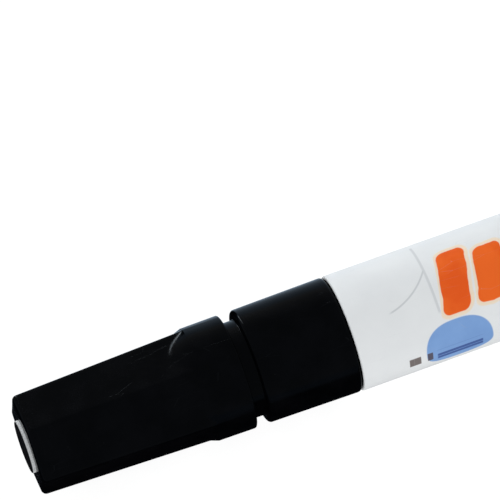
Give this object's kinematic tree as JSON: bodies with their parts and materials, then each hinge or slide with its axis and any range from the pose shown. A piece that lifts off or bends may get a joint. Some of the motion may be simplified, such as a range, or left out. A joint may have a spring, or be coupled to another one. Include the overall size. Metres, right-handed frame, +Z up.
{
  "type": "brush pen",
  "caption": "Capped brush pen with a spring valve: white printed barrel, black collar, black six-sided tapered cap that pulls off a fibre brush nib which presses in to feed paint.",
  "frame": {"origin": "bottom centre of the whole pen's box, lying on its side with the cap on", "axes": "+X along the pen's axis from the cap to the tail, +Y across, +Z up; the pen's axis is 7.93 mm above the origin"},
  "size_m": [0.1394, 0.0158, 0.0159],
  "materials": {
    "black_plastic": "moulded black plastic, semi-gloss",
    "white_lacquer": "white lacquer on extruded aluminium, printed in colour",
    "natural_plastic": "undyed plastic",
    "nib_fibre": "bonded fibre, ground to a brush point",
    "felt": "pressed felt",
    "rubber": "solvent-proof rubber",
    "steel": "bright stainless steel"
  },
  "bodies": {
    "pen": {"barrel": "white_lacquer", "front_section": "black_plastic", "barrel_gasket": "rubber", "nozzle": "black_plastic", "feed_felt": "felt", "valve_seal": "rubber", "valve_cage": "natural_plastic", "valve_spring": "steel"},
    "nib": {"brush_nib": "nib_fibre", "valve_stem": "natural_plastic"},
    "cap": {"outer_cap": "black_plastic", "inner_cap": "black_plastic"},
    "ball_1": {"mixing_ball_1": "steel"},
    "ball_2": {"mixing_ball_2": "steel"}
  },
  "joints": [
    {"name": "cap_pull", "type": "slide", "parent": "pen", "child": "cap", "axis": [-1, 0, 0], "range_m": [0, 0.04]},
    {"name": "nib_press", "type": "slide", "parent": "pen", "child": "nib", "axis": [1, 0, 0], "range_m": [0, 0.002], "stiffness_N_per_m": 700, "springref_m": -0.003, "deforming": ["valve_spring"]},
    {"name": "ball_1_roll", "type": "slide", "parent": "pen", "child": "ball_1", "axis": [1, 0, 0], "range_m": [-0.0146, 0.0639]},
    {"name": "ball_2_roll", "type": "slide", "parent": "pen", "child": "ball_2", "axis": [1, 0, 0], "range_m": [-0.0146, 0.0639]}
  ]
}
